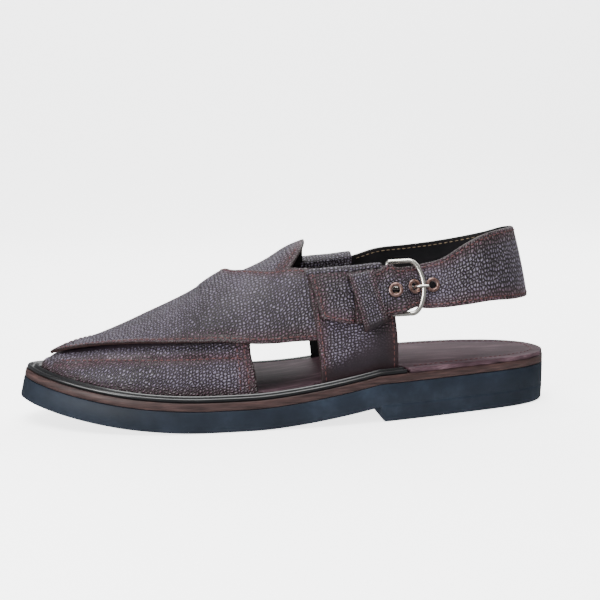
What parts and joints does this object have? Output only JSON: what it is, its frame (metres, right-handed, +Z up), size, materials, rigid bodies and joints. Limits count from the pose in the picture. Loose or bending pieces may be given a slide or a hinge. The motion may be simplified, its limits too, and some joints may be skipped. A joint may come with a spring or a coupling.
{
  "type": "peshawari chappal",
  "caption": "Left peshawari chappal: crossed leather strips over a welted sole, open sides and a buckled heel strap.",
  "frame": {"origin": "centre of the box round the shoe, on the floor that it stands on", "axes": "+X to the heel, +Y to the inner (big toe) side, +Z up"},
  "size_m": [0.2992, 0.097, 0.1012],
  "materials": {
    "sole_rubber": "matt moulded rubber, blue black",
    "midsole_leather": "reddish brown edge, lightly waxed",
    "welt_leather": "black, ridges rubbed bright",
    "insole_leather": "brown with lengthwise streaks, satin",
    "upper_leather": "dark burgundy brown pebbled grain, semi gloss",
    "buckle_nickel": "nickel plate, lightly worn",
    "eyelet_copper": "dull copper plate"
  },
  "bodies": {
    "root": {"outsole": "sole_rubber", "heel_block": "sole_rubber", "midsole": "midsole_leather", "welt": "welt_leather", "insole": "insole_leather", "upper": "upper_leather", "heel_strap": "upper_leather", "keeper": "upper_leather", "buckle_frame": "buckle_nickel", "buckle_prong": "buckle_nickel", "eyelet_1": "eyelet_copper", "eyelet_2": "eyelet_copper", "eyelet_3": "eyelet_copper"}
  },
  "joints": []
}
